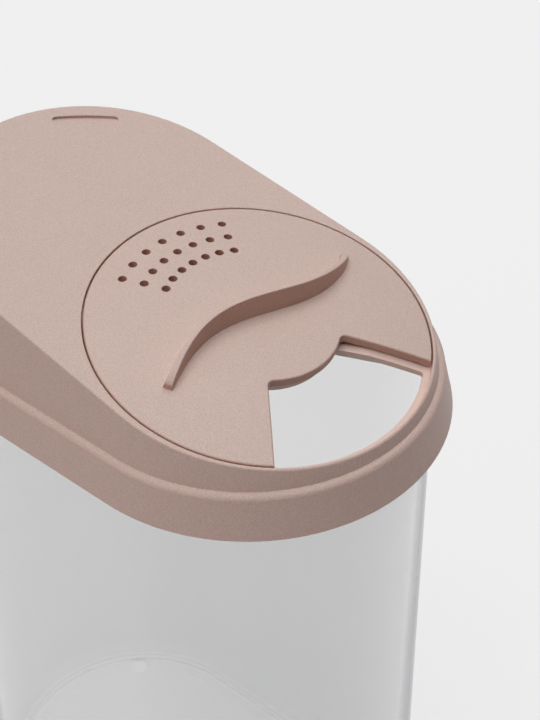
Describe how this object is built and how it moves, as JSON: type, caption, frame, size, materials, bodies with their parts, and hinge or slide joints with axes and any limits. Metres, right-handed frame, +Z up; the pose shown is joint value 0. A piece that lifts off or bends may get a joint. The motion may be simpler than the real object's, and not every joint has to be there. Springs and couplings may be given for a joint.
{
  "type": "cereal container",
  "caption": "Clear stadium-plan cereal keeper with a sloping lift-off lid; a domed disc turns in the lid to open, close or sprinkle through a fan-shaped spout.",
  "frame": {"origin": "centre of the base, on the surface the keeper stands on", "axes": "+Z up, +X across the width, -Y towards the pour end, +Y towards the tall end of the lid"},
  "size_m": [0.1044, 0.1562, 0.2331],
  "materials": {
    "clear_plastic": "clear, polished",
    "lid_plastic": "fine matte texture, dusty pink",
    "disc_plastic": "fine matte texture, dusty pink",
    "washer_steel": "stamped stainless steel",
    "screw_steel": "stainless steel"
  },
  "bodies": {
    "container": {"container_body": "clear_plastic"},
    "lid": {"lid_shell": "lid_plastic"},
    "disc": {"spout_disc": "disc_plastic", "pivot_washer": "washer_steel", "pivot_screw": "screw_steel"}
  },
  "joints": [
    {"name": "lid_lift", "type": "slide", "parent": "container", "child": "lid", "axis": [0, 0, 1], "range_m": [0, 0.06]},
    {"name": "disc_turn", "type": "hinge", "parent": "lid", "child": "disc", "pos_m": [0, -0.0293, 0.21466], "axis": [0, -0.1857, 0.9826], "continuous": true}
  ]
}
